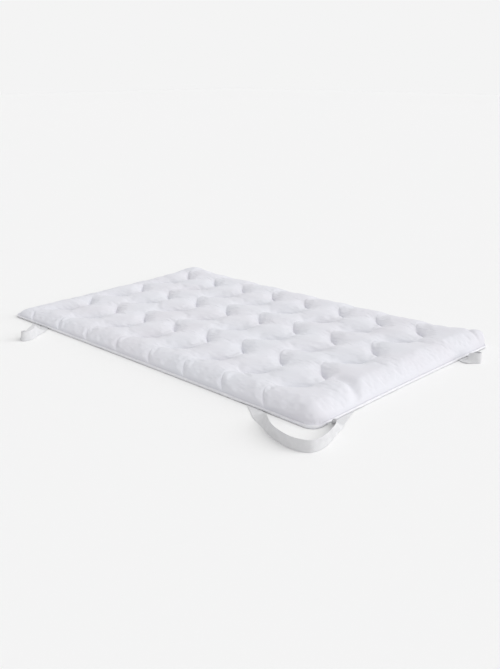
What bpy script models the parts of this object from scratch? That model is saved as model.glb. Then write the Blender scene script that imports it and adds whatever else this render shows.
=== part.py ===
"""Quilted mattress topper with elastic corner straps. Metres, +Z up.

The origin is the centre of the flat underside. X runs along the long side and Y along the short side.
The pad is one filled, quilted solid. A narrow binding runs round its seam, and at each corner an
elastic strap is sewn under the rim of both sides and lies round the corner in a loose loop, flat in
some places and on its edge in others.
"""

import math

import bmesh
import bpy
import numpy as np

# Overall size of the pad with its binding
LENGTH = 1.90
WIDTH = 1.20

# Pad body
CORNER_RADIUS = 0.040
SIDE_DRAW_IN = 0.006  # how far each side bows inwards at its middle
CROWN_HEIGHT = 0.060  # top of the fullest channels at the middle
CROWN_GAIN_X = 0.20  # share by which the filling's rise grows from the middle to the right end
CROWN_GAIN_Y = 0.05  # the same from the middle to the back
NARROW_CROWN = 0.90  # share of the crown's rise left where a channel runs steeply and is narrow
SEAM_TOP = 0.0115  # the top cover meets the seam here
SEAM_BOTTOM = 0.0055  # the bottom cover leaves the seam here
RIM_WIDTH = 0.085  # the underside slopes up to the seam over this width
FOOT_RADIUS = 0.020  # corner radius of the flat part of the underside
EDGE_ROLL = 0.085  # the top rolls down to the seam over this width

# Quilting: parallel wave lines that run across the short side
LINE_COUNT = 8
LINE_PITCH = 0.2155
FIRST_LINE_X = -0.788
WAVE_LENGTH = 0.334
WAVE_SWING = 0.0625
WAVE_START_Y = -0.266
DOME_START = 0.76  # share of the crown's rise that a channel has beside its stitch line
VALLEY_DEPTH = 0.020  # how deep a stitch line sinks below that where it runs steeply
VALLEY_WIDTH = 0.013
SLACK_VALLEY = 0.30  # share of the depth left where a line runs straight along Y
STRIP_STEPS = (0.0, 0.11, 0.33, 0.67, 0.89)  # shares of a channel's width where the mesh has a column
EDGE_STEPS = (0.0, 0.009, 0.024, 0.046, 0.080)  # distances from an edge where it has a line of points
ROW_PITCH = 0.035

# Binding, an oval section
BINDING_DEPTH = 0.0050
BINDING_HEIGHT = 0.0090
BINDING_SIDES = 8
GAP = 0.0003

# Straps
STRAP_WIDTH = 0.045
STRAP_THICKNESS = 0.0016
SEAT_REACH = 0.040  # how far a sewn end reaches under the rim
SEAT_END = 0.009  # how far beyond the outline it stays straight and flat
STRAP_FLOOR_GAP = 0.0003
STRAP_PANELS = 5  # flat faces across a strap, so that a twisted strap keeps its thickness
STRAP_STEP = 0.018  # longest step between a strap's cross-sections
STAND_STEP = 0.055  # most that a strap stands up or lies down in one step

# Creases that the straps pull into the cover near each corner: the arc starts on the last stitch line
# and ends at the strap's seat on the short side. The table gives each corner's crease depth.
CREASE_DEPTH = {
    "front_right": 0.013,
    "front_left": 0.006,
    "back_right": 0.008,
    "back_left": 0.005,
}
CREASE_HALF_WIDTH = 0.022
CREASE_REACH_X = 0.175  # the arc's length along X, from the short side inwards
CREASE_PEAK_X = 0.125  # where the arc is furthest from the corner
CREASE_PEAK_Y = 0.318
CREASE_SEAT_Y = 0.245

# Where each strap passes under the seam: (from_corner_x, slant_x, from_corner_y, slant_y). The strap's
# middle crosses the long side at from_corner_x from the corner, and slant_x is how far it runs along
# the side for each metre outwards. The other two say the same of the short side.
SEATS = {
    "front_right": (0.278, 1.45, 0.173, 2.65),
    "front_left": (0.261, -0.75, 0.225, 0.0),
    "back_right": (0.270, 0.0, 0.215, -0.56),
    "back_left": (0.270, 0.0, 0.225, 0.0),
}

# Routes of the straps' loops, seen from above. Each row is (beyond_x, beyond_y, stand): how far the
# strap's middle lies beyond the corner along X and along Y, and how far it stands on its edge, 0 to 1.
LOOPS = {
    "front_right": (
        (-0.243, 0.024, 0.0),
        (-0.218, 0.044, 0.12),
        (-0.180, 0.068, 0.42),
        (-0.135, 0.098, 0.75),
        (-0.074, 0.134, 0.92),
        (-0.018, 0.1495, 1.0),
        (0.031, 0.157, 1.0),
        (0.068, 0.151, 1.0),
        (0.098, 0.135, 1.0),
        (0.107, 0.100, 1.0),
        (0.105, 0.070, 1.0),
        (0.0966, 0.034, 1.0),
        (0.080, -0.012, 1.0),
        (0.0625, -0.053, 0.85),
        (0.044, -0.075, 0.45),
        (0.031, -0.092, 0.08),
        (0.0225, -0.111, 0.0),
        (0.0165, -0.128, 0.0),
    ),
    "front_left": (
        (-0.286, 0.033, 0.0),
        (-0.309, 0.060, 0.4),
        (-0.332, 0.088, 0.75),
        (-0.360, 0.120, 0.95),
        (-0.376, 0.150, 1.0),
        (-0.374, 0.178, 1.0),
        (-0.362, 0.190, 1.0),
        (-0.347, 0.182, 0.9),
        (-0.330, 0.158, 0.5),
        (-0.308, 0.128, 0.18),
        (-0.275, 0.094, 0.05),
        (-0.240, 0.056, 0.0),
        (-0.207, 0.014, 0.0),
        (-0.175, -0.014, 0.0),
        (-0.130, -0.024, 0.0),
        (-0.070, -0.024, 0.0),
        (-0.049, -0.0265, 0.0),
        (-0.0328, -0.0328, 0.0),
        (-0.0265, -0.049, 0.0),
        (-0.024, -0.070, 0.0),
        (-0.018, -0.105, 0.0),
        (0.004, -0.140, 0.0),
        (0.030, -0.170, 0.0),
        (0.036, -0.198, 0.0),
        (0.0324, -0.2115, 0.0),
        (0.0225, -0.221, 0.0),
    ),
    "back_right": (
        (-0.266, 0.0225, 0.0),
        (-0.2565, 0.0324, 0.0),
        (-0.243, 0.036, 0.0),
        (-0.200, 0.038, 0.05),
        (-0.150, 0.028, 0.03),
        (-0.115, 0.000, 0.0),
        (-0.085, -0.021, 0.0),
        (-0.065, -0.024, 0.0),
        (-0.047, -0.0265, 0.0),
        (-0.0328, -0.0328, 0.0),
        (-0.0265, -0.049, 0.0),
        (-0.024, -0.075, 0.0),
        (-0.022, -0.115, 0.0),
        (-0.012, -0.140, 0.0),
        (0.014, -0.160, 0.0),
        (0.044, -0.180, 0.3),
        (0.070, -0.194, 0.8),
        (0.087, -0.205, 1.0),
        (0.087, -0.217, 1.0),
        (0.062, -0.2375, 0.9),
        (0.037, -0.2425, 0.45),
        (0.026, -0.234, 0.06),
    ),
    "back_left": (
        (-0.266, 0.0225, 0.0),
        (-0.2565, 0.0324, 0.03),
        (-0.243, 0.036, 0.05),
        (-0.185, 0.046, 0.12),
        (-0.110, 0.047, 0.20),
        (-0.040, 0.044, 0.28),
        (0.010, 0.034, 0.30),
        (0.036, -0.005, 0.30),
        (0.042, -0.060, 0.25),
        (0.042, -0.125, 0.15),
        (0.036, -0.198, 0.05),
        (0.0324, -0.2115, 0.03),
        (0.0225, -0.221, 0.0),
    ),
}
CORNER_SIGNS = {
    "front_right": (1, -1),
    "front_left": (-1, -1),
    "back_right": (1, 1),
    "back_left": (-1, 1),
}

# The pad's own half sizes, inside the binding
HALF_X = LENGTH / 2 - BINDING_DEPTH - GAP
HALF_Y = WIDTH / 2 - BINDING_DEPTH - GAP

COLLECTION_NAME = "mattress_topper"
HELPERS_NAME = "helpers"


def clear_scene():
    for obj in list(bpy.data.objects):
        bpy.data.objects.remove(obj, do_unlink=True)


def make_collection(name):
    collection = bpy.data.collections.new(name)
    bpy.context.scene.collection.children.link(collection)
    return collection


def make_material(name, color, roughness):
    material = bpy.data.materials.new(name)
    material.use_nodes = True
    shader = material.node_tree.nodes["Principled BSDF"]
    shader.inputs["Base Color"].default_value = (*color, 1.0)
    shader.inputs["Roughness"].default_value = roughness
    shader.inputs["Metallic"].default_value = 0.0
    return material


# Outline and underside


def draw_in(x, y):
    """The point moved towards the middle lines, most at the middle of each side."""
    bow_x = SIDE_DRAW_IN * (1 - np.clip(y / HALF_Y, -1, 1) ** 2)
    bow_y = SIDE_DRAW_IN * (1 - np.clip(x / HALF_X, -1, 1) ** 2)
    return x * (1 - bow_x / HALF_X), y * (1 - bow_y / HALF_Y)


def round_corners(x, y):
    """Points of a rectangle moved so that its square corners become quarter circles."""
    over_x = (np.abs(x) - (HALF_X - CORNER_RADIUS)) / CORNER_RADIUS
    over_y = (np.abs(y) - (HALF_Y - CORNER_RADIUS)) / CORNER_RADIUS
    in_corner = (over_x > 0) & (over_y > 0)
    reach = np.hypot(over_x, over_y)
    squeeze = np.where(in_corner, np.maximum(over_x, over_y) / np.where(in_corner, reach, 1), 1)
    new_x = np.sign(x) * (HALF_X - CORNER_RADIUS + over_x * squeeze * CORNER_RADIUS)
    new_y = np.sign(y) * (HALF_Y - CORNER_RADIUS + over_y * squeeze * CORNER_RADIUS)
    return np.where(in_corner, new_x, x), np.where(in_corner, new_y, y)


def offset_outline(x, y, outwards, radius):
    """Points on the outline moved to one that lies outwards of it and has another corner radius."""
    core_x = np.clip(x, -(HALF_X - CORNER_RADIUS), HALF_X - CORNER_RADIUS)
    core_y = np.clip(y, -(HALF_Y - CORNER_RADIUS), HALF_Y - CORNER_RADIUS)
    new_core_x = core_x * (HALF_X + outwards - radius) / (HALF_X - CORNER_RADIUS)
    new_core_y = core_y * (HALF_Y + outwards - radius) / (HALF_Y - CORNER_RADIUS)
    scale = radius / CORNER_RADIUS
    return new_core_x + (x - core_x) * scale, new_core_y + (y - core_y) * scale


def distance_from_edge(x, y):
    """How far a point lies inside the rounded outline."""
    beyond_x = np.abs(x) - (HALF_X - CORNER_RADIUS)
    beyond_y = np.abs(y) - (HALF_Y - CORNER_RADIUS)
    outside = np.hypot(np.maximum(beyond_x, 0), np.maximum(beyond_y, 0))
    inside = np.minimum(np.maximum(beyond_x, beyond_y), 0)
    return np.maximum(CORNER_RADIUS - outside - inside, 0)


def rim_height(inwards):
    """Height of the underside at a distance inside the outline."""
    return SEAM_BOTTOM * (1 - inwards / RIM_WIDTH)


# Quilting


def wave(y):
    """Sideways offset of a stitch line."""
    return -WAVE_SWING * np.sin(2 * math.pi * (y - WAVE_START_Y) / WAVE_LENGTH)


def channel_width_share(y):
    """Width of a channel square to its lines, as a share of the pitch."""
    turn = 2 * math.pi / WAVE_LENGTH
    slope = WAVE_SWING * turn * np.cos(turn * (y - WAVE_START_Y))
    return 1 / np.hypot(1, slope)


def line_positions():
    return FIRST_LINE_X + LINE_PITCH * np.arange(LINE_COUNT)


def column_positions():
    """X of the grid's columns before the wave shifts them: close together at lines and edges."""
    lines = line_positions()
    left = [-HALF_X + step for step in EDGE_STEPS]
    right = [HALF_X - step for step in EDGE_STEPS]
    crease = STRIP_STEPS[1] * LINE_PITCH
    columns = left + [lines[0] - crease] + right + [lines[-1] + crease, lines[-1]]
    columns.append((lines[-1] + crease + right[-1]) / 2)
    for start in lines[:-1]:
        columns += [start + step * LINE_PITCH for step in STRIP_STEPS]
    return np.array(sorted(columns))


def row_positions():
    middle = HALF_Y - EDGE_STEPS[-1]
    count = round(2 * middle / ROW_PITCH)
    inner = np.linspace(-middle, middle, count + 1)
    front = [-HALF_Y + step for step in EDGE_STEPS[:-1]]
    back = [HALF_Y - step for step in reversed(EDGE_STEPS[:-1])]
    return np.concatenate([front, inner, back])


def wave_share(x):
    """1 between the first and last stitch lines, falling to 0 at the short sides."""
    lines = line_positions()
    return np.interp(x, [-HALF_X, lines[0], lines[-1], HALF_X], [0, 1, 1, 0])


def distance_from_line(flat_x):
    """How far a column lies from the nearest stitch line, before the wave moves it."""
    lines = line_positions()
    along = np.clip((flat_x - lines[0]) / LINE_PITCH, 0, LINE_COUNT - 1)
    between = along - np.floor(along)
    nearest = LINE_PITCH * np.minimum(between, 1 - between)
    return nearest + np.maximum(lines[0] - flat_x, 0) + np.maximum(flat_x - lines[-1], 0)


def dome_share(flat_x):
    """DOME_START beside a stitch line, rising as a parabola to 1 at half a pitch from it."""
    away = np.clip(distance_from_line(flat_x) / (LINE_PITCH / 2), 0, 1)
    return 1 - (1 - DOME_START) * (1 - away) ** 2


def valley_depth(flat_x, y):
    """Depth of the narrow valley along each stitch line, deepest where the line is steepest."""
    turn = 2 * math.pi / WAVE_LENGTH
    pull = np.abs(np.cos(turn * (y - WAVE_START_Y)))
    pull = SLACK_VALLEY + (1 - SLACK_VALLEY) * pull
    across = distance_from_line(flat_x) * channel_width_share(y) / VALLEY_WIDTH
    return VALLEY_DEPTH * pull * np.exp(-(across**2))


def crease_depth(x, y):
    """Depth of the soft arcs that the straps pull into the corners."""
    depth = np.zeros_like(x)
    for corner, (sign_x, sign_y) in CORNER_SIGNS.items():
        inwards_x = HALF_X - sign_x * x
        inwards_y = HALF_Y - sign_y * y
        bend = (CREASE_PEAK_Y - CREASE_SEAT_Y) / CREASE_PEAK_X**2
        arc_y = CREASE_PEAK_Y - bend * (inwards_x - CREASE_PEAK_X) ** 2
        across = (inwards_y - arc_y) / CREASE_HALF_WIDTH
        along = np.clip((CREASE_REACH_X - inwards_x) / CREASE_HALF_WIDTH, 0, 1)
        depth += CREASE_DEPTH[corner] * along * np.exp(-(across**2))
    return depth


def top_height(flat_x, x, y):
    """Height of the quilted top. flat_x is the column before the wave moved it to x."""
    widest, narrowest = 1.0, channel_width_share(WAVE_START_Y)
    share = (channel_width_share(y) - narrowest) / (widest - narrowest)
    share = 1 - (1 - share) * wave_share(flat_x)
    rise = (CROWN_HEIGHT - SEAM_TOP) * (NARROW_CROWN + (1 - NARROW_CROWN) * share)
    rise = rise * (1 + CROWN_GAIN_X * x / HALF_X + CROWN_GAIN_Y * y / HALF_Y)
    quilted = rise * dome_share(flat_x) - valley_depth(flat_x, y) - crease_depth(x, y)
    inwards = np.clip(distance_from_edge(x, y) / EDGE_ROLL, 0, 1)
    return SEAM_TOP + quilted * np.sqrt(1 - (1 - inwards) ** 2)


def boundary_loop(grid):
    """The grid's outer points in order, from the front left corner round by the right."""
    return np.concatenate([grid[0, :-1], grid[:-1, -1], grid[-1, :0:-1], grid[:0:-1, 0]])


def pad_grid():
    """Arrays of the top's points: rows run from front to back and columns from left to right."""
    flat_x, y = np.meshgrid(column_positions(), row_positions())
    x = flat_x + wave(y) * wave_share(flat_x)
    x, y = round_corners(x, y)
    return x, y, top_height(flat_x, x, y)


def outline_points(outwards, radius):
    """The outline at the pad's own boundary points, offset and drawn in."""
    x, y, _ = pad_grid()
    edge_x, edge_y = offset_outline(boundary_loop(x), boundary_loop(y), outwards, radius)
    return draw_in(edge_x, edge_y)


def add_ring(mesh, edges, ring_x, ring_y, height):
    """Extrudes an open rim and puts each new vertex where its old one maps on the next ring."""
    extruded = bmesh.ops.extrude_edge_only(mesh, edges=edges)["geom"]
    new_verts = [item for item in extruded if isinstance(item, bmesh.types.BMVert)]
    new_edges = [
        item
        for item in extruded
        if isinstance(item, bmesh.types.BMEdge) and item.is_boundary
    ]
    for vert in new_verts:
        nearest = np.argmin(np.hypot(ring_x[0] - vert.co.x, ring_y[0] - vert.co.y))
        vert.co = (ring_x[1][nearest], ring_y[1][nearest], height)
    return new_edges


def make_pad(collection, material):
    """One closed, filled solid: quilted top, seam wall, sloping rim and flat underside."""
    x, y, z = pad_grid()
    x, y = draw_in(x, y)
    rows, columns = x.shape
    mesh = bmesh.new()
    bmesh.ops.create_grid(mesh, x_segments=columns - 1, y_segments=rows - 1, size=1)
    mesh.verts.ensure_lookup_table()
    for vert, place in zip(mesh.verts, np.stack([x, y, z], axis=-1).reshape(-1, 3)):
        vert.co = place
    seam = outline_points(0.0, CORNER_RADIUS)
    foot = outline_points(-RIM_WIDTH, FOOT_RADIUS)
    rim = [edge for edge in mesh.edges if edge.is_boundary]
    rim = add_ring(mesh, rim, (seam[0], seam[0]), (seam[1], seam[1]), SEAM_BOTTOM)
    rim = add_ring(mesh, rim, (seam[0], foot[0]), (seam[1], foot[1]), 0.0)
    bmesh.ops.contextual_create(mesh, geom=rim)
    bmesh.ops.recalc_face_normals(mesh, faces=mesh.faces)
    data = bpy.data.meshes.new("pad")
    mesh.to_mesh(data)
    mesh.free()
    data.shade_smooth()
    data.set_sharp_from_angle(angle=math.radians(50))
    data.materials.append(material)
    pad = bpy.data.objects.new("pad", data)
    collection.objects.link(pad)
    return pad


# Swept pieces


def make_profile(name, points, helpers):
    """A closed flat curve that another curve carries along its path."""
    curve = bpy.data.curves.new(name, "CURVE")
    curve.dimensions = "2D"
    spline = curve.splines.new("POLY")
    spline.points.add(len(points) - 1)
    for point, (across, up) in zip(spline.points, points):
        point.co = (across, up, 0, 1)
    spline.use_cyclic_u = True
    profile = bpy.data.objects.new(name, curve)
    profile.hide_render = True
    profile.display_type = "WIRE"
    helpers.objects.link(profile)
    return profile


def make_sweep(name, points, tilts, closed, profile, collection, material):
    """The profile carried along a path, upright at tilt 0."""
    curve = bpy.data.curves.new(name, "CURVE")
    curve.dimensions = "3D"
    curve.twist_mode = "Z_UP"
    curve.bevel_mode = "OBJECT"
    curve.bevel_object = profile
    curve.use_fill_caps = not closed
    spline = curve.splines.new("POLY")
    spline.points.add(len(points) - 1)
    for point, place, tilt in zip(spline.points, points, tilts):
        point.co = (*place, 1)
        point.tilt = tilt
    spline.use_cyclic_u = closed
    spline.use_smooth = True
    curve.materials.append(material)
    sweep = bpy.data.objects.new(name, curve)
    collection.objects.link(sweep)
    return sweep


def make_binding(collection, helpers, material):
    """An oval tape round the whole seam, a hair off the pad's seam wall."""
    angles = -2 * math.pi * (np.arange(BINDING_SIDES) + 0.5) / BINDING_SIDES
    oval = np.stack(
        [BINDING_DEPTH / 2 * np.cos(angles), BINDING_HEIGHT / 2 * np.sin(angles)], axis=-1
    )
    profile = make_profile("binding_profile", oval, helpers)
    outwards = BINDING_DEPTH / 2 + GAP
    x, y = outline_points(outwards, CORNER_RADIUS + outwards)
    height = (SEAM_TOP + SEAM_BOTTOM) / 2
    points = np.stack([x, y, np.full_like(x, height)], axis=-1)
    tilts = np.zeros(len(points))
    return make_sweep("edge_binding", points, tilts, True, profile, collection, material)


def smooth_route(rows):
    """Points of a curve through all the rows, each span a Hermite cubic cut into short steps."""
    rows = np.array(rows, float)
    spans = np.linalg.norm(np.diff(rows[:, :2], axis=0), axis=1)
    stops = np.concatenate([[0], np.cumsum(spans)])
    slopes = np.gradient(rows, stops, axis=0)
    turns = np.abs(np.diff(rows[:, 3]))
    steps = np.ceil(np.maximum(spans / STRAP_STEP, turns / STAND_STEP)).astype(int)
    span = np.repeat(np.arange(len(spans)), steps)
    share = np.concatenate([np.arange(count) / count for count in steps])[:, None]
    length = spans[span][:, None]
    start, end = rows[span], rows[span + 1]
    leave, arrive = slopes[span] * length, slopes[span + 1] * length
    route = (
        start * (2 * share**3 - 3 * share**2 + 1)
        + leave * (share**3 - 2 * share**2 + share)
        + end * (3 * share**2 - 2 * share**3)
        + arrive * (share**3 - share**2)
    )
    return np.concatenate([route, rows[-1:]])


def resting_height(stand):
    """Height of the strap's middle where its lower edge just clears the floor."""
    lean = stand * math.pi / 2
    half_width, half_thickness = STRAP_WIDTH / 2, STRAP_THICKNESS / 2
    return STRAP_FLOOR_GAP + half_width * np.sin(lean) + half_thickness * np.cos(lean)


def seat_points(from_corner, slant):
    """Points (along, outwards) of a sewn end's middle, from its inner end to just past the seam."""
    half_reach = STRAP_WIDTH / 2 * abs(slant) / math.hypot(1, slant)
    depth = SEAT_REACH - half_reach
    return [(-from_corner + step * slant, step) for step in (-depth, -depth / 2, 0.0, SEAT_END)]


def strap_rows(corner):
    """Rows (beyond_x, beyond_y, height, stand) from the seat on the long side to the other seat.

    Each sewn end lies flat under the rim and passes under the binding.
    """
    from_corner_x, slant_x, from_corner_y, slant_y = SEATS[corner]
    height = rim_height(SEAT_REACH) - STRAP_THICKNESS / 2 - 2 * GAP
    rows = [(along, out, height, 0.0) for along, out in seat_points(from_corner_x, slant_x)]
    for beyond_x, beyond_y, stand in LOOPS[corner]:
        rows.append((beyond_x, beyond_y, resting_height(stand), stand))
    ends = reversed(seat_points(from_corner_y, slant_y))
    rows += [(out, along, height, 0.0) for along, out in ends]
    return rows


def make_strap(corner, profile, collection, material):
    """One elastic band: flat where it is sewn and standing on its edge round the corner."""
    sign_x, sign_y = CORNER_SIGNS[corner]
    route = smooth_route(strap_rows(corner))
    x = sign_x * (HALF_X + route[:, 0])
    y = sign_y * (HALF_Y + route[:, 1])
    x, y = draw_in(x, y)
    stand = np.clip(route[:, 3], 0, 1)
    z = np.maximum(route[:, 2], resting_height(stand))
    tilts = -sign_x * sign_y * stand * math.pi / 2
    points = np.stack([x, y, z], axis=-1)
    name = "corner_strap_" + corner
    return make_sweep(name, points, tilts, False, profile, collection, material)


def main():
    clear_scene()
    topper = make_collection(COLLECTION_NAME)
    helpers = make_collection(HELPERS_NAME)
    cover = make_material("white_microfibre_cover", (0.80, 0.80, 0.83), 0.85)
    tape = make_material("white_binding_tape", (0.82, 0.82, 0.84), 0.75)
    elastic = make_material("white_woven_elastic", (0.68, 0.68, 0.70), 0.80)
    make_pad(topper, cover)
    make_binding(topper, helpers, tape)
    across = np.linspace(-STRAP_WIDTH / 2, STRAP_WIDTH / 2, STRAP_PANELS + 1)
    upper = [(place, STRAP_THICKNESS / 2) for place in across]
    lower = [(place, -STRAP_THICKNESS / 2) for place in reversed(across)]
    profile = make_profile("strap_profile", upper + lower, helpers)
    for corner in CORNER_SIGNS:
        make_strap(corner, profile, topper, elastic)


main()
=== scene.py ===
import math
import bpy
import numpy as np
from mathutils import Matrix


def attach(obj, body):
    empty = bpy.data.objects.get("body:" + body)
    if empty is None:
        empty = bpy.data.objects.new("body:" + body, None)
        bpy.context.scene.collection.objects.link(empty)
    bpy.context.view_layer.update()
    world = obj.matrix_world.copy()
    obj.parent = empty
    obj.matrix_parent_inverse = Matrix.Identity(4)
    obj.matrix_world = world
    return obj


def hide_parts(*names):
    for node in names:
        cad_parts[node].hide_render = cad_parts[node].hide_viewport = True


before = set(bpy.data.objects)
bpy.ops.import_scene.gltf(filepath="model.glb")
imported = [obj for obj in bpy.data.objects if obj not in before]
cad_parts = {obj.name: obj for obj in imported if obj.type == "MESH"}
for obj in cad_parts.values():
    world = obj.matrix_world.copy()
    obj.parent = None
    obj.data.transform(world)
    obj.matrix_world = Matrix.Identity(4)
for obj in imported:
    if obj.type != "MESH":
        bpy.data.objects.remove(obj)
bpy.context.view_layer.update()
print("frame loaded:", len(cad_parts), "solids")

# A quilted mattress topper with elastic corner straps. Metres, +Z up, origin under the middle.
# Every new piece is a surface worked out with numpy in the frame's own place.

shot = {
    "place": (2.503, -2.526, 1.165),
    "lookDown": 18.43,  # degrees below the horizon
    "turnLeft": 43.85,  # degrees from +Y towards -X
    "focalPixels": 808,  # on a picture 500 pixels wide
    "pictureWidth": 500,
    "sensorWidth": 36.0,  # mm
}


def addObject(name, data):
    item = bpy.data.objects.new(name, data)
    bpy.context.scene.collection.objects.link(item)
    return item


def placeCamera():
    # lens in mm = sensor width x focal length in pixels / picture width in pixels
    data = bpy.data.cameras.new("photoCamera")
    data.sensor_fit = "HORIZONTAL"
    data.sensor_width = shot["sensorWidth"]
    data.lens = shot["sensorWidth"] * shot["focalPixels"] / shot["pictureWidth"]
    camera = addObject("photoCamera", data)
    camera.location = shot["place"]
    camera.rotation_euler = (math.radians(90 - shot["lookDown"]), 0, math.radians(shot["turnLeft"]))
    bpy.context.scene.camera = camera


placeCamera()


def hexColour(code):
    # sRGB to linear: c / 12.92 up to 0.04045, above it ((c + 0.055) / 1.055) ^ 2.4
    shares = [int(code[i : i + 2], 16) / 255 for i in (1, 3, 5)]
    linear = [c / 12.92 if c <= 0.04045 else ((c + 0.055) / 1.055) ** 2.4 for c in shares]
    return (*linear, 1.0)


def setInputs(owner, node, inputs):
    # an input is a plain value or another node's socket; the owner is a material or the world
    for name, value in inputs.items():
        if isinstance(value, bpy.types.NodeSocket):
            owner.node_tree.links.new(value, node.inputs[name])
        else:
            node.inputs[name].default_value = value


def addNode(owner, kind, inputs=None, **settings):
    node = owner.node_tree.nodes.new("ShaderNode" + kind)
    for name, value in settings.items():
        setattr(node, name, value)
    setInputs(owner, node, inputs or {})
    return node


def newMaterial(name, roughness, sheen=0.0, specular=0.3):
    # a dielectric surface; sheen is the pale glow of fine fibres seen from low down
    material = bpy.data.materials.new(name)
    material.use_nodes = True
    shader = material.node_tree.nodes["Principled BSDF"]
    looks = {"Roughness": roughness, "Metallic": 0.0, "Specular IOR Level": specular}
    setInputs(material, shader, {**looks, "Sheen Weight": sheen, "Sheen Roughness": 0.5})
    return material, shader


def stopColours(ramp, stops):
    # a colour ramp's stops from (place, hex colour) pairs
    elements = ramp.color_ramp.elements
    while len(elements) > len(stops):
        elements.remove(elements[-1])
    while len(elements) < len(stops):
        elements.new(1.0)
    for element, (place, code) in zip(elements, stops):
        element.position = place
        element.color = hexColour(code)


def bandScale(pitch):
    # a wave texture repeats every pi / 10 at scale 1, so the scale is pi / 10 over the pitch
    return math.pi / 10 / pitch


microfibre = {
    "roughness": 0.85,
    "sheen": 0.12,
    "tints": ((0.32, "#DEDDE3"), (0.50, "#E0E0E6"), (0.68, "#DFE0E6")),
    "tintPatch": 0.22,  # m
    "threadPitch": 0.0011,  # real threads are about 0.1 mm; coarser so that they show close up
    "threadWobble": 0.6,
    "weaveHeight": 0.00004,
    "napPitch": 0.004,  # m, the brushed fibres' small tufts
    "napHeight": 0.00012,
}


def brushedMicrofibre():
    # woven polyester microfibre, brushed on its face: matt, with a soft pale sheen and no gloss
    name = "whiteBrushedMicrofibre"
    material, shader = newMaterial(name, microfibre["roughness"], microfibre["sheen"])
    place = addNode(material, "TexCoord").outputs["Object"]
    pattern = {"Vector": place, "Scale": 1 / microfibre["tintPatch"], "Detail": 2.0}
    patches = addNode(material, "TexNoise", pattern)
    tint = addNode(material, "ValToRGB", {"Fac": patches.outputs["Fac"]})
    stopColours(tint, microfibre["tints"])
    cloth = addNode(material, "UVMap", uv_map="cloth").outputs["UV"]
    pattern = {"Vector": cloth, "Scale": bandScale(microfibre["threadPitch"]), "Detail": 1.0}
    pattern["Distortion"] = microfibre["threadWobble"]
    warp = addNode(material, "TexWave", pattern, bands_direction="X").outputs["Fac"]
    weft = addNode(material, "TexWave", pattern, bands_direction="Y").outputs["Fac"]
    weave = addNode(material, "Math", {0: warp, 1: weft}, operation="MULTIPLY")
    relief = {"Height": weave.outputs["Value"], "Distance": microfibre["weaveHeight"]}
    weaveBump = addNode(material, "Bump", relief)
    pattern = {"Vector": cloth, "Scale": 1 / microfibre["napPitch"], "Detail": 3.0}
    nap = addNode(material, "TexNoise", pattern)
    relief = {"Height": nap.outputs["Fac"], "Distance": microfibre["napHeight"]}
    relief["Normal"] = weaveBump.outputs["Normal"]
    napBump = addNode(material, "Bump", relief)
    looks = {"Base Color": tint.outputs["Color"], "Normal": napBump.outputs["Normal"]}
    setInputs(material, shader, looks)
    return material


ribbed = {
    "tapeRoughness": 0.7,
    "elasticRoughness": 0.8,
    "sheen": 0.1,
    "tapeColours": ((0.35, "#E9E9EE"), (0.65, "#F1F1F4")),
    "tapeRib": 0.0012,  # m between the tape's crosswise ribs
    "elasticColours": ((0.30, "#DBDBDD"), (0.70, "#E4E4E6")),
    "elasticRib": 0.003,  # m between the elastic's lengthwise cords
    "elasticPick": 0.0014,  # m between its crosswise threads
    "ribHeight": 0.00015,
    "ribWobble": 0.3,
    "tintPatch": 0.03,
}


def wovenRibs(name, colours, roughness, pitches):
    # colour patches along the piece, and ribs across its UV map at each (direction, pitch)
    material, shader = newMaterial(name, roughness, ribbed["sheen"])
    cloth = addNode(material, "UVMap", uv_map="cloth").outputs["UV"]
    pattern = {"Vector": cloth, "Scale": 1 / ribbed["tintPatch"], "Detail": 3.0}
    patches = addNode(material, "TexNoise", pattern)
    tint = addNode(material, "ValToRGB", {"Fac": patches.outputs["Fac"]})
    stopColours(tint, colours)
    relief = {"Distance": ribbed["ribHeight"]}
    for direction, pitch in pitches:
        pattern = {"Vector": cloth, "Scale": bandScale(pitch), "Distortion": ribbed["ribWobble"]}
        wave = addNode(material, "TexWave", pattern, bands_direction=direction)
        relief["Height"] = wave.outputs["Fac"]
        relief["Normal"] = addNode(material, "Bump", relief).outputs["Normal"]
    looks = {"Base Color": tint.outputs["Color"], "Normal": relief["Normal"]}
    setInputs(material, shader, looks)
    return material


def wovenTape():
    # polyester binding tape, tightly woven: a little smoother and whiter than the cover
    pitches = (("X", ribbed["tapeRib"]),)
    return wovenRibs("whiteWovenTape", ribbed["tapeColours"], ribbed["tapeRoughness"], pitches)


def wovenElastic():
    # rubber cords under woven polyester: matt, with cords along it and fine threads across
    pitches = (("Y", ribbed["elasticRib"]), ("X", ribbed["elasticPick"]))
    colours = ribbed["elasticColours"]
    return wovenRibs("whiteWovenElastic", colours, ribbed["elasticRoughness"], pitches)


spunThread = {
    "roughness": 0.55,
    "sheen": 0.05,
    "twistPitch": 0.0006,
    "colours": ((0.0, "#DFDFE4"), (1.0, "#F0F0F3")),
}


def sewingThread():
    # spun polyester thread, twisted: slightly brighter than the cloth, with a faint lustre
    name = "whitePolyesterThread"
    material, shader = newMaterial(name, spunThread["roughness"], spunThread["sheen"])
    place = addNode(material, "TexCoord").outputs["Object"]
    pattern = {"Vector": place, "Scale": bandScale(spunThread["twistPitch"])}
    twist = addNode(material, "TexWave", pattern, bands_direction="DIAGONAL")
    tint = addNode(material, "ValToRGB", {"Fac": twist.outputs["Fac"]})
    stopColours(tint, spunThread["colours"])
    setInputs(material, shader, {"Base Color": tint.outputs["Color"]})
    return material


coverMaterial = brushedMicrofibre()
tapeMaterial = wovenTape()
elasticMaterial = wovenElastic()
threadMaterial = sewingThread()
print("materials ready")


def boundaryLoop(grid):
    # a grid's outer items in order: front row left to right, then right, back and left
    return np.concatenate([grid[0, :-1], grid[:-1, -1], grid[-1, :0:-1], grid[:0:-1, 0]])


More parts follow.
